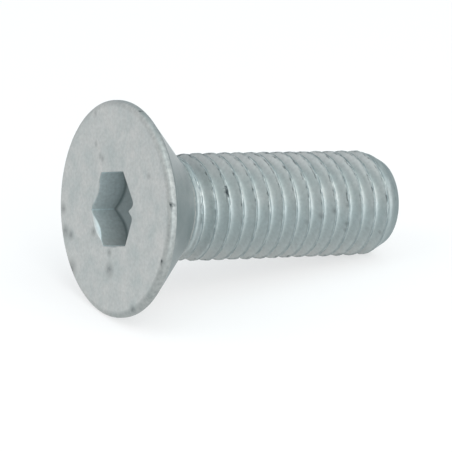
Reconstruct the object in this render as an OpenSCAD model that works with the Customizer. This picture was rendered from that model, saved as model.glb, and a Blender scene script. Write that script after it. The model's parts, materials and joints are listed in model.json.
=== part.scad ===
// Countersunk screw with a hexagon socket, threaded up to its head, in zinc-plated steel.
// It lies as it comes to rest, on the rim of its head and on a crest of the thread near its tip.
// It is drawn standing on its face, with +Z towards the tip and +X on the side that will face
// the ground, and is then laid down. Lengths are in millimetres and angles in degrees.

/* [Head] */
// Diameter of the head over its rim
head_d = 23.4; // [20:0.1:27]
// Included angle of the countersunk cone
cone_angle = 90; // [80:1:100]
// Height of the straight land round the rim
rim_land = 0.44; // [0.2:0.02:1]
// Radius that rounds the rim over to the face
rim_round = 0.4; // [0.1:0.05:0.8]
// Step from the crests of the thread down to the plain neck under the cone
neck_step = 0.2; // [0.1:0.05:0.4]
// Radius of the fillet between the cone and the neck
neck_fillet = 0.6; // [0.2:0.1:1.2]

/* [Socket] */
// Width of the hexagon across its flats
socket_af = 8; // [6:0.5:10]
// Depth of the socket's walls at the middle of a flat
socket_depth = 3.65; // [3:0.05:4.2]
// Included angle of the cone that the punch leaves below the walls
socket_cone_angle = 90; // [80:5:120]
// Diameter of the flat at the bottom of that cone
socket_floor_d = 4.6; // [4:0.2:5.4]
// Width of the chamfer that leads a key into the socket
socket_lead_in = 0.35; // [0.1:0.05:0.45]
// Turn of the socket from having a corner towards the ground
socket_turn = 10.4; // [0:0.2:60]

/* [Thread] */
// Length of the screw from its face to its tip
screw_length = 34.35; // [20:0.05:60]
// Outer diameter over the crests
crest_d = 11.8; // [11:0.1:12.4]
// Depth of the thread from its crests to its roots
thread_depth = 0.975; // [0.8:0.005:1.1]
// Distance from one crest to the next, for a right-hand thread
pitch = 1.75; // [1.5:0.05:2.5]
// Angle between the two flanks of a groove
flank_angle = 60; // [50:1:65]
// Width of the flat along each crest
crest_flat = 0.22; // [0.14:0.02:0.4]
// Depth below the end of the neck at which the thread begins
thread_sink = 0.39; // [0.1:0.01:0.6]
// Turn of the thread's beginning from the side that faces the ground
thread_turn = 210; // [0:10:350]
// Turns over which the thread grows to its full section from there
runout_turns = 1.75; // [1:0.25:3]
// Length of the chamfer that tapers the shank from its crests down to its roots at the tip
tip_chamfer = 2.03; // [1:0.01:4]
// Turns over which the grooves run out on that chamfer
tip_turns = 0.75; // [0.25:0.25:1.5]

/* [Hidden] */

$fn = 96;
// flat facets in one turn of the thread
facets = 48;
// reach of the shank into the head, and of the socket's cuts past the face
overlap = 0.3;
// ledge from the neck down to where the thread begins
ledge = 0.05;
// least length of plain stub between the last turn and the tip
tip_stub = 0.05;
// bite of the neck's fillet past the cone, so that the two meet in an edge and leave no sliver
fillet_bite = 0.005;

head_r = head_d/2;
face_r = head_r - rim_round;
crest_r = crest_d/2;
root_r = crest_r - thread_depth;
neck_r = crest_r - neck_step;
runout_r = neck_r - ledge;

// heights above the face
rim_z = rim_round + rim_land;
cone_end_z = rim_z + (head_r - neck_r)/tan(cone_angle/2);
fillet_reach = neck_fillet*tan(cone_angle/4);
neck_end_z = cone_end_z + fillet_reach;
thread_z = neck_end_z - thread_sink;

// one pitch of the thread's section, as heights from the foot of its first flank:
// that foot, the two edges of the crest and the foot of the second flank
flank_run = thread_depth*tan(flank_angle/2);
section = [0, flank_run, flank_run + crest_flat, 2*flank_run + crest_flat];

// the corners of the section step round the helix from 0 to last
last = floor(facets*((screw_length - tip_stub - thread_z)/pitch - 1));
root_line = last + facets + 1;

function corner_z(k, j) = thread_z + pitch*k/facets + section[j];

// Share of the full groove that is cut, from none at the neck and at the tip to all between them
function groove_share(k) = max(0, min(1, k/(facets*runout_turns), (last - k)/(facets*tip_turns)));

// Radius of a plain shank: the start of the thread at the neck, the crests and then the chamfer
function plain_r(k, z) = min(
    runout_r + (crest_r - runout_r)*min(1, k/(facets*runout_turns)),
    root_r + (screw_length - z)*thread_depth/tip_chamfer);

function corner_r(k, j) =
    let (plain = plain_r(k, corner_z(k, j)))
    j == 1 || j == 2 ? plain : plain + groove_share(k)*min(0, root_r - plain);

function round_point(k, r, z) = let (turn = thread_turn + 360*k/facets) [r*cos(turn), r*sin(turn), z];
function corner(k, j) = round_point(k, corner_r(k, j), corner_z(k, j));
function ring(r, z) = [for (k = [0 : facets - 1]) round_point(k, r, z)];

// Places of the points in the list below. The corner after a section's last is the next turn's first.
function at(k, j) = j == 0 ? k : j == 4 ? k + facets : root_line + 3*k + j - 1;
function neck_at(k) = root_line + 3*(last + 1) + k % facets;
function tip_at(k) = neck_at(0) + facets + k % facets;

function fan(hub, others) = [for (i = [0 : len(others) - 2]) [hub, others[i], others[i + 1]]];

// The shank with its thread, as one skin that winds from a ring inside the neck to a ring at the tip
module threaded_shank() {
    points = [
        for (k = [0 : last + facets]) corner(k, 0),
        for (k = [0 : last]) for (j = [1 : 3]) corner(k, j),
        each ring(runout_r, thread_z - overlap),
        each ring(root_r, screw_length)
    ];
    faces = [
        [for (k = [0 : facets - 1]) neck_at(k)],
        for (k = [0 : facets - 2]) each fan(neck_at(k), [at(k, 0), at(k + 1, 0), neck_at(k + 1)]),
        each fan(at(facets - 1, 0), [for (j = [4 : -1 : 0]) at(0, j), neck_at(0), neck_at(facets - 1)]),
        for (k = [0 : last - 1]) for (j = [0 : 3])
            each fan(at(k, j), [at(k, j + 1), at(k + 1, j + 1), at(k + 1, j)]),
        each fan(at(last + 1, 0), [for (j = [0 : 4]) at(last, j), tip_at(last), tip_at(last + 1)]),
        for (k = [last + 1 : last + facets - 1])
            each fan(at(k, 0), [tip_at(k), tip_at(k + 1), at(k + 1, 0)]),
        [for (k = [facets - 1 : -1 : 0]) tip_at(k)]
    ];
    polyhedron(points, faces);
}

// The flat face, rounded rim, cone and filleted neck, turned in one profile
module countersunk_head() {
    round_at = [face_r, rim_round];
    fillet_at = [neck_r + neck_fillet, neck_end_z];
    fillet_start = [neck_r, cone_end_z] + fillet_reach*[sin(cone_angle/2), -cos(cone_angle/2)];
    rotate_extrude() {
        difference() {
            union() {
                polygon([
                    [0, 0], [face_r, 0], round_at, [head_r, rim_round], [head_r, rim_z],
                    fillet_start, fillet_at, [neck_r, neck_end_z], [0, neck_end_z]
                ]);
                translate(round_at) circle(rim_round);
            }
            translate(fillet_at) circle(neck_fillet + fillet_bite);
        }
    }
}

// The punched hexagon with its cone-shaped bottom, and the chamfer round its mouth
module socket() {
    flat_r = socket_af/2;
    floor_r = socket_floor_d/2;
    slope = tan(socket_cone_angle/2);
    floor_z = socket_depth + (flat_r - floor_r)/slope;
    punch_r = flat_r/cos(30);
    punch_z = socket_depth - (punch_r + overlap - flat_r)/slope;
    intersection() {
        translate([0, 0, -overlap]) rotate(socket_turn)
            cylinder(h = floor_z + 2*overlap, r = punch_r, $fn = 6);
        rotate_extrude() polygon([
            [0, -overlap], [punch_r + overlap, -overlap], [punch_r + overlap, punch_z],
            [floor_r, floor_z], [0, floor_z]
        ]);
    }
    translate([0, 0, -overlap])
        cylinder(h = socket_lead_in + overlap, r1 = flat_r + socket_lead_in + overlap, r2 = flat_r);
}

// Lean of the axis at which each edge of a crest on the underside would meet the ground: the least one does
under = round(facets*(1 - thread_turn/360));
lean = min([for (k = [under : facets : last]) for (j = [1, 2])
    atan((head_r - corner_r(k, j))/(corner_z(k, j) - rim_z))]);
// extent along the ground, from the low side of the rim to the high side of the tip
front_x = rim_round*cos(lean) - face_r*sin(lean) - rim_round;
back_x = screw_length*cos(lean) + root_r*sin(lean);

// Lays a screw that stands on its face down on the ground, in the middle of its own length
module laid_down() {
    translate([-(front_x + back_x)/2, 0, head_r*cos(lean) + rim_z*sin(lean)])
        rotate([0, 90 + lean, 0]) children();
}

module screw() {
    color([0.68, 0.71, 0.71])
        laid_down()
            difference() {
                union() {
                    countersunk_head();
                    threaded_shank();
                }
                socket();
            }
}

screw();
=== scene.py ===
import json
import math

import bmesh
import bpy
import numpy as np
from mathutils import Matrix, Vector, noise


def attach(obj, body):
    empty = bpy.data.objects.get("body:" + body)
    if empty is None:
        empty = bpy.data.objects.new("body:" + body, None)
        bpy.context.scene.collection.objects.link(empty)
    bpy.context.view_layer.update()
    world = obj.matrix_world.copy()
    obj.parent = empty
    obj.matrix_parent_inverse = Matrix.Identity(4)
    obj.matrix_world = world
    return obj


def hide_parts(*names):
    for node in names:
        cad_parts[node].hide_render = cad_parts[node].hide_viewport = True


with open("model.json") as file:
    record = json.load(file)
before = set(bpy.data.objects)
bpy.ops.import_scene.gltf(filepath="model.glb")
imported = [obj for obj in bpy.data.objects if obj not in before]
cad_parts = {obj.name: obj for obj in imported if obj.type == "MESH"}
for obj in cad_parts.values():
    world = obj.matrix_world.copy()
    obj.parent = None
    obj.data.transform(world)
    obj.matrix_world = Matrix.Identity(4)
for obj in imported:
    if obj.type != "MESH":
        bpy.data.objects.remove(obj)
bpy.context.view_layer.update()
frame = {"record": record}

# The screw's place
# The screw is drawn in millimetres standing on its face, with its axis along Z and X on the side that
# meets the ground, and is laid down by the axis and the rim that the frame gives.
mounts = {mount["name"]: mount for mount in frame["record"]["mounts"]}
head_r = mounts["head_rim"]["dims"]["r_mm"]
crest_r = mounts["thread"]["dims"]["r_mm"]
rim_round = 0.4
rim_land = mounts["head_rim"]["dims"]["length_mm"]
rim_end = rim_round + rim_land

millimetre = 0.001
axis = Vector(mounts["head_rim"]["axis"])
side = Vector((0, 1, 0))
down = side.cross(axis)
face_centre = Vector(mounts["head_rim"]["pos_m"]) - axis * (rim_round + rim_land / 2) * millimetre
lay_down = (
    Matrix.Translation(face_centre)
    @ Matrix((down, side, axis)).transposed().to_4x4()
    @ Matrix.Scale(millimetre, 4)
)

# The head
# A flat countersunk head, cold-headed from the bar in one blow with its hexagon socket, with a narrow
# straight land round its rim. It is skinned ring by ring from the socket's floor out to the neck.
# points in one ring
columns = 240
socket_turn = math.radians(10.4)
socket_flat = 4.0
socket_corner_round = 0.16
socket_depth = 3.65
socket_floor_r = 2.3
socket_lead_in = 0.1
lead_in_shift = 0.26
lead_in_side = math.radians(66)
socket_edge = 0.04
neck_r = 5.7
neck_fillet = 0.28
cone_end = rim_end + head_r - neck_r
neck_end = cone_end + neck_fillet * math.tan(math.radians(22.5))

turns = socket_turn + 2 * math.pi * np.arange(columns) / columns
from_flat = np.abs((turns - socket_turn) % math.radians(60) - math.radians(30))
from_corner = math.radians(30) - from_flat
# each corner of the hexagon is an arc about a centre on the corner's own radius
arc_centre = (socket_flat - socket_corner_round) / math.cos(math.radians(30))
arc_reach = math.atan2(
    socket_corner_round * math.sin(math.radians(30)),
    arc_centre + socket_corner_round * math.cos(math.radians(30)),
)
arc_offset = np.minimum(arc_centre * np.sin(from_corner), socket_corner_round)
wall_r = np.where(
    from_corner < arc_reach,
    arc_centre * np.cos(from_corner) + np.sqrt(socket_corner_round**2 - arc_offset**2),
    socket_flat / np.cos(from_flat),
)
# the lead-in was cut a little off the socket's centre, so its radius about that centre changes
lead_in_r = socket_flat + socket_lead_in + lead_in_shift * np.cos(turns - lead_in_side)
mouth_r = np.maximum(wall_r, lead_in_r)

shell = bmesh.new()
worn_layer = shell.verts.layers.float.new("worn")
# the dull layer carries painted shade in the socket, at the neck, on the head's cone and along the land's
# edge, dullness and painted shade on the rim, and darkening at the tip
shade_and_dull_layer = shell.verts.layers.float.new("shade_and_dull")
# the pale layer carries painted light in the socket
painted_light_layer = shell.verts.layers.float.new("painted_light")
rough_layer = shell.verts.layers.float.new("rough")
layers = (worn_layer, shade_and_dull_layer, painted_light_layer, rough_layer)


def ring(radius, height, worn=0, shade_and_dull=0, painted_light=0, rough=0):
    """One ring of points round the axis, with its wear, its painted shade and dullness, its painted light and
    its roughness.

    Each value may change along the ring.
    """
    points = []
    for turn, r, z, *state in np.broadcast(turns, radius, height, worn, shade_and_dull, painted_light, rough):
        point = shell.verts.new((r * math.cos(turn), r * math.sin(turn), z))
        for layer, level in zip(layers, state):
            point[layer] = level
        points.append(point)
    return points


def skin(rings):
    """Faces between each ring and the next."""
    for near, far in zip(rings, rings[1:]):
        for k in range(columns):
            following = (k + 1) % columns
            shell.faces.new((near[k], near[following], far[following], far[k]))


def close(last_ring, height):
    """A flat fan from a ring to a point on the axis."""
    pole = shell.verts.new((0, 0, height))
    for k in range(columns):
        shell.faces.new((pole, last_ring[k], last_ring[(k + 1) % columns]))


floor_z = socket_depth + socket_flat - socket_floor_r
wall_foot = socket_depth + socket_flat - wall_r
lead_foot = np.maximum(lead_in_r - wall_r, socket_edge)
# a burr that the key pushed over one corner of the mouth
burr_turn = math.radians(254.8)
burr_spread = math.radians(7.5)
burr_reach = 1.15
burr_gap = (turns - burr_turn + math.pi) % (2 * math.pi) - math.pi
burr = burr_reach * np.exp(-(burr_gap / burr_spread) ** 2)
# the corners between the walls are painted bright as a painted highlight, one side of the walls is painted
# lighter as painted light, and one side of the mouth is painted paler as a painted highlight
painted_light_side = math.radians(130)
mouth_highlight_side = math.radians(25)
corner_painted_light = np.where(from_corner < arc_reach, 0.95, 0.35 + 0.26 * np.cos(turns - painted_light_side))
mouth_painted_highlight = 0.75 * np.clip(np.cos(turns - mouth_highlight_side), 0, 1) ** 4
# painted light and painted shade down the socket, with the darkest painted shade in the creases, and its
# roughness
floor_painted_light_shade_rough = {"shade_and_dull": 0.4, "painted_light": 0.4, "rough": 0.3}
cone_painted_light_shade_rough = {"shade_and_dull": 0.45, "painted_light": 0.4, "rough": 0.3}
floor_crease_shade = {"shade_and_dull": 0.6, "rough": 0.3}
wall_crease_shade = {"shade_and_dull": 0.9, "rough": 0.3}
wall_rough = 0.4
head_rings = [ring(socket_floor_r * share, floor_z, **floor_painted_light_shade_rough) for share in (0.35, 0.7, 0.94)]
head_rings.append(ring(socket_floor_r * 1.05, floor_z - 0.04, **floor_crease_shade))
for share in (0.25, 0.5, 0.75, 0.9):
    cone_r = socket_floor_r + (wall_r - socket_floor_r) * share
    head_rings.append(ring(cone_r, socket_depth + socket_flat - cone_r, **cone_painted_light_shade_rough))
head_rings.append(ring(wall_r - 0.02, wall_foot - 0.03, **wall_crease_shade))
# the foot of each wall is painted darker, a painted shade in the crease
for share, shade_and_dull in ((0.03, 0.7), (0.1, 0.15), (0.25, 0), (0.5, 0), (0.7, 0)):
    wall_z = wall_foot + (lead_foot - wall_foot) * share
    head_rings.append(ring(wall_r, wall_z, shade_and_dull=shade_and_dull, painted_light=corner_painted_light, rough=wall_rough))
for share, pushed in ((0.82, 0.2), (0.9, 0.6), (0.97, 0.9)):
    wall_z = wall_foot + (lead_foot - wall_foot) * share
    head_rings.append(ring(wall_r - burr * pushed, wall_z, painted_light=corner_painted_light, rough=wall_rough))
mouth_edge = mouth_r + socket_edge - burr
head_rings.append(ring(wall_r + socket_edge / 2 - burr, lead_foot, painted_light=mouth_painted_highlight))
head_rings.append(ring(mouth_r + socket_edge / 4 - burr, socket_edge * 0.7, painted_light=mouth_painted_highlight * 0.3))
head_rings.append(ring(mouth_edge, 0))
# the rim is rounded over gently from the face and more sharply at the land
rim_ease = 0.75
face_r = head_r - rim_ease
for share in np.linspace(0.03, 1, 22):
    head_rings.append(ring(mouth_edge + (face_r - mouth_edge) * share, 0))
# the rim is rubbed most on one side, and next to that its lower side is darker, partly scuffed dull and
# partly painted shade
worn_side = math.radians(245)
dull_and_shade_side = math.radians(305)
rim_worn = 0.45 + 0.4 * np.cos(turns - worn_side)
rim_dull_and_shade = 0.45 * np.clip(np.cos(turns - dull_and_shade_side), 0, 1) ** 2
rim_rough = 0.15
for angle in np.radians([8, 16, 25, 35, 45, 55, 65, 78, 90]):
    over_rim = min(1, 1.8 * math.sin(angle))
    head_rings.append(ring(
        face_r + rim_ease * math.sin(angle), rim_round * (1 - math.cos(angle)),
        worn=rim_worn * over_rim, shade_and_dull=rim_dull_and_shade * over_rim, rough=rim_rough * over_rim))
# the edge between the land and the cone is broken, with a painted shade line along it on one side
land_edge = 0.06
edge_shade_side = math.radians(212)
edge_painted_shade = np.clip(1.4 * np.cos(turns - edge_shade_side), 0, 1)
head_rings.append(ring(head_r, rim_end - land_edge, worn=rim_worn, shade_and_dull=rim_dull_and_shade, rough=rim_rough))
head_rings.append(ring(head_r - land_edge * 0.35, rim_end + land_edge * 0.35, worn=0.3, shade_and_dull=edge_painted_shade))
head_rings.append(ring(head_r - land_edge, rim_end + land_edge, shade_and_dull=edge_painted_shade))
cone_start = head_r - land_edge
fillet_start = neck_r + neck_fillet * (1 - math.cos(math.radians(45)))
# the cone is painted darker all round and most on its lower side, a painted shade
cone_painted_shade = 0.18 + 0.7 * np.clip(np.cos(turns - dull_and_shade_side), 0, 1)
for share in (0.03, 0.15, 0.3, 0.45, 0.6, 0.75, 0.9, 1):
    cone_r = cone_start + (fillet_start - cone_start) * share
    head_rings.append(ring(cone_r, rim_end + head_r - cone_r, shade_and_dull=cone_painted_shade))
# the fillet was left rough where the rolling dies stopped against the head
fillet_finish = {"worn": 0.9, "rough": 0.3}
for angle in np.radians([36, 27, 18, 9, 0]):
    fillet_r = neck_r + neck_fillet * (1 - math.cos(angle))
    head_rings.append(ring(fillet_r, neck_end - neck_fillet * math.sin(angle), **fillet_finish))
skin(head_rings)
close(head_rings[0], floor_z)

# The shank
# A thread rolled into the shank right up to the neck, with a rounded root. The chamfer at the tip was
# there before the rolling, so the grooves run out on it. A node tree winds the skin of the thread.
screw_length = 34.35
root_r = crest_r - 0.975
pitch = 1.75
crest_flat = 0.26
groove_depth = 1.07
first_crest = 8.16
tip_chamfer = 2.03
tip_edge = 0.12
tip_end = screw_length - tip_edge
chamfer_slope = (crest_r - root_r) / tip_chamfer
tip_r = root_r + chamfer_slope * tip_edge
# steps of the skin from one turn of the thread to the next
across = 16

tip_break = 0.03
# the tip is darker and rougher
tip_darkening_and_rough = {"shade_and_dull": 0.6, "rough": 0.25}
tip_rings = [
    ring(tip_r, tip_end, **tip_darkening_and_rough),
    ring(root_r, screw_length - tip_break, **tip_darkening_and_rough),
    ring(root_r - tip_edge, screw_length, rough=0.1),
]
tip_rings += [ring((root_r - tip_edge) * share, screw_length) for share in (0.75, 0.4)]
skin(tip_rings)
close(tip_rings[-1], screw_length)

# the winding starts at the first turn that lies wholly under the neck
start = first_crest - pitch / 2 + pitch * socket_turn / (2 * math.pi)
start -= pitch * math.ceil((start + pitch - neck_end) / pitch)
wound_turns = math.ceil((tip_end - start) / pitch)


def add_node(tree, kind, inputs={}, **settings):
    """Adds a node with its settings, sets or links its inputs, and returns its first output."""
    node = tree.nodes.new(kind)
    for name, value in settings.items():
        setattr(node, name, value)
    for place, value in inputs.items():
        if isinstance(value, bpy.types.NodeSocket):
            tree.links.new(value, node.inputs[place])
        else:
            node.inputs[place].default_value = value
    return node.outputs[0] if node.outputs else node


thread = bpy.data.node_groups.new("rolled_thread", "GeometryNodeTree")
thread_sizes = {
    "Pitch": pitch,
    "Crest radius": crest_r,
    "Root radius": crest_r - groove_depth,
    "Neck radius": neck_r,
    "Neck height": neck_end,
    "Neck band height": neck_end + 0.7,
    "Full depth height": neck_end + 1.0,
    "Full crest height": neck_end + 3.5,
    "Clean height": neck_end + 4.5,
    "Fade height": screw_length - 2.3,
    "Plain height": screw_length - 0.9,
    "Tip height": tip_end,
    "Tip radius": tip_r,
    "Chamfer slope": chamfer_slope,
    "Crest half width": crest_flat / 2,
    "Half pitch": pitch / 2,
    "Crest phase at neck": 0.64,
    "Thread depth": groove_depth,
    "Groove curve": 1.5,
    "Crest rounding": 0.16,
    "Start height": start,
    "Start turn": socket_turn,
    "Turns": wound_turns,
}
thread.interface.new_socket("Head", in_out="INPUT", socket_type="NodeSocketGeometry")
thread.interface.new_socket("Finish", in_out="INPUT", socket_type="NodeSocketMaterial")
for name in thread_sizes:
    thread.interface.new_socket(name, in_out="INPUT", socket_type="NodeSocketFloat")
thread.interface.new_socket("Screw", in_out="OUTPUT", socket_type="NodeSocketGeometry")
given = thread.nodes.new("NodeGroupInput").outputs

strip = add_node(thread, "GeometryNodeMeshGrid", {
    "Size X": given["Turns"], "Size Y": 1,
    "Vertices X": wound_turns * columns + 1, "Vertices Y": across + 1,
})
strip_position = add_node(thread, "GeometryNodeInputPosition")
flat_place = add_node(thread, "ShaderNodeSeparateXYZ", {0: strip_position}).node
along = add_node(thread, "ShaderNodeMath", {0: given["Turns"], 1: 0.5, 2: flat_place.outputs["X"]},
                 operation="MULTIPLY_ADD")
step = add_node(thread, "ShaderNodeMath", {0: flat_place.outputs["Y"], 1: 0.5})
wound = add_node(thread, "ShaderNodeMath", {0: along, 1: step})
raw_height = add_node(thread, "ShaderNodeMath", {0: wound, 1: given["Pitch"], 2: given["Start height"]},
                      operation="MULTIPLY_ADD")
height = add_node(thread, "ShaderNodeClamp", {
    "Value": raw_height, "Min": given["Neck height"], "Max": given["Tip height"]})

# distance from the middle of the crest, along the axis
risen = add_node(thread, "ShaderNodeMath", {0: height, 1: given["Start height"]}, operation="SUBTRACT")
pitches = add_node(thread, "ShaderNodeMath", {0: risen, 1: given["Pitch"]}, operation="DIVIDE")
phase = add_node(thread, "ShaderNodeMath", {0: pitches, 1: along}, operation="SUBTRACT")
drawn_out = add_node(thread, "ShaderNodeMapRange", {
    "Value": height, "From Min": given["Neck height"], "From Max": given["Full crest height"],
    "To Min": given["Crest phase at neck"], "To Max": 0.5})
from_crest = add_node(thread, "ShaderNodeMath", {0: phase, 1: drawn_out}, operation="SUBTRACT")
crest_offset = add_node(thread, "ShaderNodeMath", {0: from_crest, 1: given["Pitch"]}, operation="MULTIPLY")
crest_gap = add_node(thread, "ShaderNodeMath", {0: crest_offset}, operation="ABSOLUTE")

# the section: a narrow crest between grooves that curve all the way down to a round root
down_flank = add_node(thread, "ShaderNodeMapRange", {
    "Value": crest_gap, "From Min": given["Crest half width"], "From Max": given["Half pitch"],
    "To Min": 1, "To Max": 0}, clamp=False)
curved = add_node(thread, "ShaderNodeMath", {0: down_flank, 1: given["Groove curve"]}, operation="POWER")
flank = add_node(thread, "ShaderNodeMath", {0: curved, 1: given["Thread depth"], 2: given["Root radius"]},
                 operation="MULTIPLY_ADD")
section = add_node(thread, "ShaderNodeMath", {0: flank, 1: given["Crest radius"], 2: given["Crest rounding"]},
                   operation="SMOOTH_MIN")
depth = add_node(thread, "ShaderNodeMath", {0: given["Crest radius"], 1: section}, operation="SUBTRACT")

# the groove grows from nothing at the neck and runs out on the chamfer
grown = add_node(thread, "ShaderNodeMapRange", {
    "Value": height, "From Min": given["Neck height"], "From Max": given["Full depth height"]})
kept = add_node(thread, "ShaderNodeMapRange", {
    "Value": height, "From Min": given["Fade height"], "From Max": given["Plain height"],
    "To Min": 1, "To Max": 0}, interpolation_type="SMOOTHSTEP")
groove_share = add_node(thread, "ShaderNodeMath", {0: grown, 1: kept}, operation="MULTIPLY")
groove = add_node(thread, "ShaderNodeMath", {0: depth, 1: groove_share}, operation="MULTIPLY")
blank = add_node(thread, "ShaderNodeMapRange", {
    "Value": height, "From Min": given["Neck height"], "From Max": given["Full crest height"],
    "To Min": given["Neck radius"], "To Max": given["Crest radius"]})
rolled = add_node(thread, "ShaderNodeMath", {0: blank, 1: groove}, operation="SUBTRACT")
to_tip = add_node(thread, "ShaderNodeMath", {0: given["Tip height"], 1: height}, operation="SUBTRACT")
chamfer = add_node(thread, "ShaderNodeMath", {0: to_tip, 1: given["Chamfer slope"], 2: given["Tip radius"]},
                   operation="MULTIPLY_ADD")
chamfer_blend = 0.1
skin_r = add_node(thread, "ShaderNodeMath", {0: rolled, 1: chamfer, 2: chamfer_blend},
                  operation="SMOOTH_MIN")

turn = add_node(thread, "ShaderNodeMath", {0: along, 1: 2 * math.pi, 2: given["Start turn"]},
                operation="MULTIPLY_ADD")
upright = add_node(thread, "ShaderNodeCombineXYZ", {"X": skin_r, "Z": height})
wound_place = add_node(thread, "ShaderNodeVectorRotate", {"Vector": upright, "Angle": turn},
                       rotation_type="Z_AXIS")

# two opposite sides were scuffed more than the rest and carry the flecks and the bright crest streaks; the
# rest, the lower side as the screw lies, gets painted light as paler, bluer plating and painted shade on its
# crests
scuff_turn = math.radians(200)
past_scuff = add_node(thread, "ShaderNodeMath", {0: turn, 1: scuff_turn}, operation="SUBTRACT")
towards_scuff = add_node(thread, "ShaderNodeMath", {0: past_scuff}, operation="COSINE")
scuff_side = add_node(thread, "ShaderNodeMath", {0: towards_scuff}, operation="ABSOLUTE")
scuff_and_highlight = add_node(thread, "ShaderNodeMapRange", {"Value": scuff_side, "From Min": 0.3, "From Max": 0.65})
# the sheltered mark is the lower side, for painted light and painted shade
painted_lower_side = add_node(thread, "ShaderNodeMapRange", {"Value": scuff_and_highlight, "To Min": 1, "To Max": 0.3})

# the rough band along each crest, which reaches further towards the tip than towards the head
crest_start = add_node(thread, "ShaderNodeMapRange", {
    "Value": crest_offset, "From Min": -0.18, "From Max": -0.08})
crest_end = add_node(thread, "ShaderNodeMapRange", {
    "Value": crest_offset, "From Min": 0.17, "From Max": 0.27, "To Min": 1, "To Max": 0})
crest_band = add_node(thread, "ShaderNodeMath", {0: crest_start, 1: crest_end}, operation="MULTIPLY")
crest_kept = add_node(thread, "ShaderNodeMapRange", {"Value": kept, "From Max": 0.3})
rolled_mark = add_node(thread, "ShaderNodeMath", {0: crest_band, 1: crest_kept}, operation="MULTIPLY")
# the neck band also takes the crests' dullness, which gives painted shade at the neck
neck_band = add_node(thread, "ShaderNodeMapRange", {
    "Value": height, "From Min": given["Neck height"], "From Max": given["Neck band height"],
    "To Min": 1, "To Max": 0}, interpolation_type="SMOOTHSTEP")
crest_mark = add_node(thread, "ShaderNodeMath", {0: rolled_mark, 1: neck_band}, operation="MAXIMUM")

# the shank has painted shade at the neck, from the head, is darker towards the tip, and is rougher at both
# ends
tip_share = add_node(thread, "ShaderNodeMapRange", {
    "Value": height, "From Min": given["Fade height"], "From Max": given["Plain height"]})
tip_darkening = add_node(thread, "ShaderNodeMath", {0: tip_share, 1: 0.75}, operation="MULTIPLY")
# painted shade on the first turns, next to the head
head_painted_shade = add_node(thread, "ShaderNodeMapRange", {
    "Value": height, "From Min": given["Neck height"], "From Max": given["Clean height"],
    "To Min": 0.1, "To Max": 0})
neck_painted_shade = add_node(thread, "ShaderNodeMath", {0: neck_band, 1: 0.7, 2: head_painted_shade},
                     operation="MULTIPLY_ADD")
end_darkening = add_node(thread, "ShaderNodeMath", {0: tip_darkening, 1: neck_painted_shade}, operation="MAXIMUM")
end_share = add_node(thread, "ShaderNodeMath", {0: tip_share, 1: neck_band}, operation="MAXIMUM")
end_rough = add_node(thread, "ShaderNodeMath", {0: end_share, 1: 0.25, 2: 0.05},
                     operation="MULTIPLY_ADD")

# the strip takes these marks with it for the finish, and its own place as if it were unrolled
turn_length = add_node(thread, "ShaderNodeMath", {0: turn, 1: given["Crest radius"]}, operation="MULTIPLY")
unrolled = add_node(thread, "ShaderNodeCombineXYZ", {"X": turn_length, "Y": crest_offset})
marked = strip
for name, value, kind in (
    ("crest", crest_mark, "FLOAT"),
    ("unrolled", unrolled, "FLOAT_VECTOR"),
    ("rough", end_rough, "FLOAT"),
    ("shade_and_dull", end_darkening, "FLOAT"),
    ("scuff_and_highlight", scuff_and_highlight, "FLOAT"),
    ("painted_lower_side", painted_lower_side, "FLOAT"),
):
    marked = add_node(thread, "GeometryNodeStoreNamedAttribute", {
        "Geometry": marked, "Name": name, "Value": value}, data_type=kind, domain="POINT")
skin_wound = add_node(thread, "GeometryNodeSetPosition", {"Geometry": marked, "Position": wound_place})
whole = thread.nodes.new("GeometryNodeJoinGeometry")
thread.links.new(given["Head"], whole.inputs[0])
thread.links.new(skin_wound, whole.inputs[0])
weld_gap = 0.002
welded = add_node(thread, "GeometryNodeMergeByDistance", {
    "Geometry": whole.outputs[0], "Distance": weld_gap})
real = add_node(thread, "GeometryNodeRealizeInstances", {"Geometry": welded})
finished = add_node(thread, "GeometryNodeSetMaterial", {"Geometry": real, "Material": given["Finish"]})
add_node(thread, "NodeGroupOutput", {"Screw": finished})

# The finish
# Electroplated zinc with a clear passivation, over forged steel: a satin, faintly clouded grey metal,
# with dark flecks along the head-side edge of each crest, where it was knocked in the barrel.


# the finish also carries painted light and painted shade: in the socket, on the head's cone and rim, at the
# neck and along the lower side of the shank
def linear(colour):
    """An sRGB hex colour as linear red, green, blue and alpha."""
    channels = [int(colour[i:i + 2], 16) / 255 for i in (1, 3, 5)]
    return tuple(c / 12.92 if c <= 0.04045 else ((c + 0.055) / 1.055) ** 2.4 for c in channels) + (1,)


def per_size(size):
    """Scale of a pattern whose marks are this many millimetres across."""
    return 1 / (size * millimetre)


zinc = bpy.data.materials.new("electroplated_zinc")
zinc.use_nodes = True
zinc_tree = zinc.node_tree
zinc_tree.nodes.clear()
place = add_node(zinc_tree, "ShaderNodeTexCoord").node.outputs["Object"]
marks = {
    name: add_node(zinc_tree, "ShaderNodeAttribute", attribute_name=name).node.outputs["Fac"]
    for name in ("worn", "shade_and_dull", "painted_light", "rough", "crest", "scuff_and_highlight", "painted_lower_side", "knock")
}
strip_place = add_node(zinc_tree, "ShaderNodeAttribute", attribute_name="unrolled").node.outputs["Vector"]

# the plating is clouded, painted lighter in the socket as painted light, and paler and bluer on the lower
# side of the shank as painted light;
# in a colour mix, input 0 is the share, 6 and 7 are the two colours, and output 2 is the result
clouds = add_node(zinc_tree, "ShaderNodeTexNoise", {
    "Vector": place, "Scale": per_size(2.6), "Detail": 6, "Roughness": 0.62})
cloud_share = add_node(zinc_tree, "ShaderNodeMapRange", {
    "Value": clouds, "From Min": 0.34, "From Max": 0.66})
clouded = add_node(zinc_tree, "ShaderNodeMix", {
    0: cloud_share, 6: linear("#b2b8b7"), 7: linear("#c5c6c4")}, data_type="RGBA").node.outputs[2]
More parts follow.
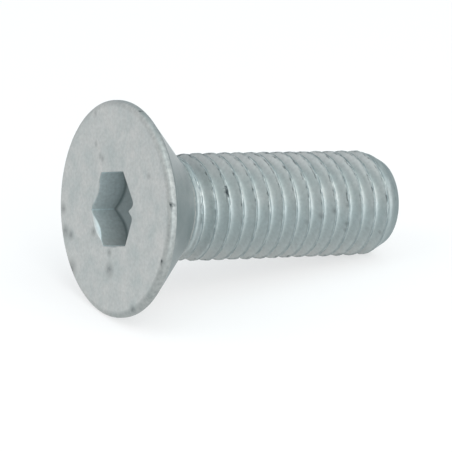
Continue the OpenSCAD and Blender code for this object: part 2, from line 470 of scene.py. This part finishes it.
# the pale marks are painted light: the socket's walls, corners, floor and mouth are painted lighter
clouded_with_painted_light = add_node(zinc_tree, "ShaderNodeMix", {
    0: marks["painted_light"], 6: clouded, 7: linear("#dbe6e8")}, data_type="RGBA").node.outputs[2]
# the lower side of the shank is painted paler and bluer, a painted light
plating_with_painted_light = add_node(zinc_tree, "ShaderNodeMix", {
    0: marks["painted_lower_side"], 6: clouded_with_painted_light, 7: linear("#bac2c2")}, data_type="RGBA").node.outputs[2]
# the grain is drawn coarser than it is, so that it shows
grain = add_node(zinc_tree, "ShaderNodeTexNoise", {"Vector": place, "Scale": per_size(0.35), "Detail": 3})
grain_value = add_node(zinc_tree, "ShaderNodeMapRange", {
    "Value": grain, "From Min": 0.3, "From Max": 0.7, "To Min": 0.93, "To Max": 1.07})
grained = add_node(zinc_tree, "ShaderNodeHueSaturation", {"Value": grain_value, "Color": plating_with_painted_light})

# darker places: the crests, dull in streaks, with painted shade added on the lower side of the shank; painted
# shade at the neck, on the head's cone, most on its lower side, in the socket's depths and creases and along
# one side of the land's edge; the lower side of the rim, partly scuffed dull and partly painted shade; and
# darker towards the tip
streaks_per_mm = (1.1, 7.0, 1.0)
stretched = add_node(zinc_tree, "ShaderNodeVectorMath", {0: strip_place, 1: streaks_per_mm},
                     operation="MULTIPLY")
streaks = add_node(zinc_tree, "ShaderNodeTexNoise", {"Vector": stretched, "Scale": 1, "Detail": 3})
streak_share = add_node(zinc_tree, "ShaderNodeMapRange", {
    "Value": streaks, "From Min": 0.35, "From Max": 0.65, "To Min": 0.34, "To Max": 0.84})
# the crests on the lower side get painted shade on top of their dull streaks
streak_dull_and_shade = add_node(zinc_tree, "ShaderNodeMath", {0: marks["painted_lower_side"], 1: 0.2, 2: streak_share},
                       operation="MULTIPLY_ADD")
crest_dull_and_shade = add_node(zinc_tree, "ShaderNodeMath", {0: marks["crest"], 1: streak_dull_and_shade}, operation="MULTIPLY")
# the dull marks darken as painted shade, and as scuffed dullness on the rim
shade_and_dull_cloud = add_node(zinc_tree, "ShaderNodeMapRange", {"Value": clouds, "To Min": 1.5, "To Max": 0.5})
shade_and_dull_broken = add_node(zinc_tree, "ShaderNodeMath", {0: marks["shade_and_dull"], 1: shade_and_dull_cloud}, operation="MULTIPLY")
shade_and_dull_share = add_node(zinc_tree, "ShaderNodeMath", {0: crest_dull_and_shade, 1: shade_and_dull_broken}, operation="MAXIMUM")
dulled_and_shaded = add_node(zinc_tree, "ShaderNodeMix", {
    0: shade_and_dull_share, 6: grained, 7: linear("#879394")}, data_type="RGBA").node.outputs[2]

# dark flecks in broken streaks along the head-side edge of each crest, and the knocks
head_edge_offset = 0.14
past_crest = add_node(zinc_tree, "ShaderNodeSeparateXYZ", {0: strip_place}).node.outputs["Y"]
past_edge = add_node(zinc_tree, "ShaderNodeMath", {0: past_crest, 1: head_edge_offset})
edge_gap = add_node(zinc_tree, "ShaderNodeMath", {0: past_edge}, operation="ABSOLUTE")
head_edge = add_node(zinc_tree, "ShaderNodeMapRange", {
    "Value": edge_gap, "From Min": 0.06, "From Max": 0.17, "To Min": 1, "To Max": 0})
scuffed_edge = add_node(zinc_tree, "ShaderNodeMath", {0: head_edge, 1: marks["scuff_and_highlight"]},
                        operation="MULTIPLY")
fleck_height = add_node(zinc_tree, "ShaderNodeMath", {0: streaks, 1: scuffed_edge}, operation="MULTIPLY")
fleck = add_node(zinc_tree, "ShaderNodeMapRange", {
    "Value": fleck_height, "From Min": 0.54, "From Max": 0.62, "To Max": 0.6})
knock_broken = add_node(zinc_tree, "ShaderNodeMapRange", {
    "Value": grain, "From Min": 0.35, "From Max": 0.6, "To Min": 0.5, "To Max": 1.2})
knock_dark = add_node(zinc_tree, "ShaderNodeMath", {0: marks["knock"], 1: knock_broken},
                      operation="MULTIPLY")
dark = add_node(zinc_tree, "ShaderNodeMath", {0: fleck, 1: knock_dark}, operation="MAXIMUM")

# the rim and the fillet were rubbed bright in patches, and the crests on the scuffed side get streaks, partly
# rubbed bright and partly a painted highlight
rub = add_node(zinc_tree, "ShaderNodeTexNoise", {"Vector": place, "Scale": per_size(0.45), "Detail": 5})
rub_share = add_node(zinc_tree, "ShaderNodeMapRange", {"Value": rub, "From Min": 0.35, "From Max": 0.65})
rubbed = add_node(zinc_tree, "ShaderNodeMix", {
    0: rub_share, 6: linear("#939694"), 7: linear("#b6b7b4")}, data_type="RGBA").node.outputs[2]
worn_share = add_node(zinc_tree, "ShaderNodeMath", {0: marks["worn"], 1: 0.75}, operation="MULTIPLY")
edged = add_node(zinc_tree, "ShaderNodeMix", {
    0: worn_share, 6: dulled_and_shaded, 7: rubbed}, data_type="RGBA").node.outputs[2]
# bright streaks on the crests of the scuffed side, partly a painted highlight
bright_streak = add_node(zinc_tree, "ShaderNodeMapRange", {
    "Value": streaks, "From Min": 0.42, "From Max": 0.36, "To Max": 0.7})
scuffed_highlight_crest = add_node(zinc_tree, "ShaderNodeMath", {0: marks["crest"], 1: marks["scuff_and_highlight"]},
                         operation="MULTIPLY")
bright = add_node(zinc_tree, "ShaderNodeMath", {0: bright_streak, 1: scuffed_highlight_crest}, operation="MULTIPLY")
streaked = add_node(zinc_tree, "ShaderNodeMix", {
    0: bright, 6: edged, 7: linear("#dfe2df")}, data_type="RGBA").node.outputs[2]
colour = add_node(zinc_tree, "ShaderNodeMix", {
    0: dark, 6: streaked, 7: linear("#3f4648")}, data_type="RGBA").node.outputs[2]

# satin all over, rougher on the dull crests and where the marks say, with a fine bump
cloud_rough = add_node(zinc_tree, "ShaderNodeMapRange", {
    "Value": clouds, "From Min": 0.3, "From Max": 0.7, "To Min": 0.43, "To Max": 0.53})
crest_rough = add_node(zinc_tree, "ShaderNodeMath", {0: crest_dull_and_shade, 1: 0.2, 2: cloud_rough},
                       operation="MULTIPLY_ADD")
roughness = add_node(zinc_tree, "ShaderNodeMath", {0: crest_rough, 1: marks["rough"]})
bump_depth = 0.04 * millimetre
rim_bump = add_node(zinc_tree, "ShaderNodeMath", {0: marks["worn"], 1: 0.25}, operation="MULTIPLY")
bump_height = add_node(zinc_tree, "ShaderNodeMath", {0: rub, 1: rim_bump, 2: grain},
                       operation="MULTIPLY_ADD")
bump = add_node(zinc_tree, "ShaderNodeBump", {
    "Height": bump_height, "Strength": 0.3, "Distance": bump_depth})
shader = add_node(zinc_tree, "ShaderNodeBsdfPrincipled", {
    "Base Color": colour, "Metallic": 1, "Roughness": roughness, "Normal": bump})
add_node(zinc_tree, "ShaderNodeOutputMaterial", {"Surface": shader})

head_mesh = bpy.data.meshes.new("plated_screw")
shell.to_mesh(head_mesh)
shell.free()
screw = bpy.data.objects.new("plated_screw", head_mesh)
bpy.context.scene.collection.objects.link(screw)
rolling = screw.modifiers.new("rolling", "NODES")
rolling.node_group = thread
for item in thread.interface.items_tree:
    if item.in_out == "INPUT" and item.name in thread_sizes:
        rolling[item.identifier] = float(thread_sizes[item.name])
    if item.in_out == "INPUT" and item.name == "Finish":
        rolling[item.identifier] = zinc
evaluated = screw.evaluated_get(bpy.context.evaluated_depsgraph_get())
screw_mesh = bpy.data.meshes.new_from_object(evaluated)
screw.modifiers.clear()
screw.data = screw_mesh

skin_mesh = bmesh.new()
skin_mesh.from_mesh(screw_mesh)
bmesh.ops.remove_doubles(skin_mesh, verts=skin_mesh.verts, dist=weld_gap)
bmesh.ops.recalc_face_normals(skin_mesh, faces=skin_mesh.faces)
skin_mesh.normal_update()
# the metal is uneven where the rolling dies stopped against the head, and along the crests
uneven_height = 0.09
uneven_scale = 1.7
neck_reach = 0.55
crest_uneven = 0.6
crest_layer = skin_mesh.verts.layers.float["crest"]
for vert in skin_mesh.verts:
    near_neck = max(0, 1 - abs(vert.co.z - neck_end) / neck_reach)
    uneven = max(near_neck, vert[crest_layer] * crest_uneven)
    vert.co += vert.normal * noise.noise(vert.co * uneven_scale) * uneven_height * uneven
# knocks from the barrel, each by its turn, height, radius, reach and depth
knocks = (
    (249.2, 0.2, 11.65, 0.3, 0.08), (189, 0.5, 11.7, 0.3, 0.08), (281, 0.02, 11.2, 0.24, 0.05),
    (231, 10.98, 5.9, 0.3, 0.08), (235, 11.02, 5.9, 0.34, 0.1), (239, 11.06, 5.9, 0.28, 0.08),
    (222.6, 9.12, 5.9, 0.24, 0.06),
)
# smudges, which have no depth, each by its turn, height, radius and reach
smudges = (
    (136, 0, 7.8, 0.4), (141, 0, 5.75, 0.45), (138, 0, 6.2, 0.4), (36, 0, 11.2, 1.3),
    (350, 0, 6.65, 1.1), (41, 0, 4.9, 0.7), (58, 0, 10.6, 1.0), (143.8, 0, 10.85, 0.4),
    (226.6, 0, 8.3, 0.45), (71.6, 0, 10.7, 0.8), (54, 0, 9.6, 0.8), (322.5, 0.02, 11.2, 0.6),
    (352.4, 0, 4.8, 0.6), (264, 23.2, 5.8, 0.5), (258.8, 24.95, 5.8, 0.45), (271, 21.35, 5.8, 0.45),
    (273.9, 26.84, 5.8, 0.42), (281.5, 26.8, 5.8, 0.32), (253.2, 26.7, 5.8, 0.36),
    (288, 32.05, 5.5, 0.3), (305, 29.4, 5.8, 0.3),
)
knock_core = 2.5
smudge_darkness = 0.5
knock_layer = skin_mesh.verts.layers.float.new("knock")
for mark_turn, mark_z, mark_r, reach, sink in knocks + tuple(smudge + (0,) for smudge in smudges):
    mark_angle = math.radians(mark_turn)
    centre = Vector((mark_r * math.cos(mark_angle), mark_r * math.sin(mark_angle), mark_z))
    for vert in skin_mesh.verts:
        gap = (vert.co - centre).length
        if gap < reach:
            near = 1 - gap / reach
            darkness = min(near * knock_core, 1) if sink else near * smudge_darkness
            vert[knock_layer] = max(vert[knock_layer], darkness)
            vert.co -= vert.normal * sink * near
skin_mesh.to_mesh(screw_mesh)
skin_mesh.free()
screw_mesh.transform(lay_down)
screw_mesh.shade_smooth()
screw_mesh.set_sharp_from_angle(angle=math.radians(40))
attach(screw, "root")
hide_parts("screw")

# The floor
# A plain white sheet that the screw lies on.
floor_half = 3.0
floor_corners = [(x * floor_half, y * floor_half, 0) for x, y in ((-1, -1), (1, -1), (1, 1), (-1, 1))]
floor_mesh = bpy.data.meshes.new("floor")
floor_mesh.from_pydata(floor_corners, [], [(0, 1, 2, 3)])
floor = bpy.data.objects.new("floor", floor_mesh)
bpy.context.scene.collection.objects.link(floor)
sheet = bpy.data.materials.new("white_sheet")
sheet.use_nodes = True
sheet_tree = sheet.node_tree
sheet_tree.nodes.clear()
ray = add_node(sheet_tree, "ShaderNodeLightPath").node.outputs
mirrored = add_node(sheet_tree, "ShaderNodeMath", {
    0: ray["Is Glossy Ray"], 1: ray["Is Transmission Ray"]}, operation="MAXIMUM")
seen = add_node(sheet_tree, "ShaderNodeMath", {0: ray["Is Camera Ray"], 1: mirrored}, operation="MAXIMUM")
glow_share = add_node(sheet_tree, "ShaderNodeMath", {0: seen, 1: 0.6}, operation="MULTIPLY")
matt = add_node(sheet_tree, "ShaderNodeBsdfDiffuse", {"Color": linear("#f6f6f6")})
glow = add_node(sheet_tree, "ShaderNodeEmission", {"Color": linear("#ffffff"), "Strength": 1})
sheet_shader = add_node(sheet_tree, "ShaderNodeMixShader", {0: glow_share, 1: matt, 2: glow})
add_node(sheet_tree, "ShaderNodeOutputMaterial", {"Surface": sheet_shader})
floor_mesh.materials.append(sheet)

# The studio
# A pale room with five large soft lamps round the screw, and the camera on the side of its head.
studio = bpy.data.worlds.new("studio")
studio.use_nodes = True
studio.node_tree.nodes["Background"].inputs["Color"].default_value = linear("#ecf8ff")
studio.node_tree.nodes["Background"].inputs["Strength"].default_value = 0.56
bpy.context.scene.world = studio

aim = Vector((-2.0985, 0, 6.6512)) * millimetre
lamp_distance = 0.6


def add_lamp(name, azimuth, rise, width, length, power, colour="#ffffff"):
    """A soft lamp that faces the screw. Azimuth 0 is along +Y and 90 along +X, and rise is its elevation."""
    data = bpy.data.lights.new(name, "AREA")
    data.shape = "RECTANGLE"
    data.size = width
    data.size_y = length
    data.energy = power
    data.color = linear(colour)[:3]
    lamp = bpy.data.objects.new(name, data)
    turned, risen = math.radians(azimuth), math.radians(rise)
    away = Vector((math.sin(turned) * math.cos(risen), math.cos(turned) * math.cos(risen), math.sin(risen)))
    lamp.location = aim + away * lamp_distance
    lamp.rotation_euler = away.to_track_quat("Z", "Y").to_euler()
    bpy.context.scene.collection.objects.link(lamp)


add_lamp("low_lamp", 178, 14, 0.75, 0.3, 1.72, "#edf9ff")
add_lamp("front_lamp", 168, 42, 0.6, 0.35, 1.62, "#fff5ee")
add_lamp("side_lamp", 280, 40, 0.5, 0.5, 1, "#fffdfb")
add_lamp("left_lamp", 318, 25, 0.6, 0.5, 0.39, "#ffece9")
add_lamp("top_lamp", 150, 75, 0.5, 0.5, 1.03, "#e8fcff")

# the camera was fitted to the screw's outline
heading = math.radians(31.2295)
elevation = math.radians(22.4223)
distance = 332.922 * millimetre
towards = Vector((
    math.sin(heading) * math.cos(elevation), math.cos(heading) * math.cos(elevation), -math.sin(elevation)))
view = bpy.data.cameras.new("camera")
view.sensor_width = 36
view.lens = 240.592
view.clip_start = 0.01
camera = bpy.data.objects.new("camera", view)
camera.location = aim - towards * distance
camera.rotation_euler = towards.to_track_quat("-Z", "Y").to_euler()
bpy.context.scene.collection.objects.link(camera)
bpy.context.scene.camera = camera
bpy.context.scene.view_settings.view_transform = "Standard"
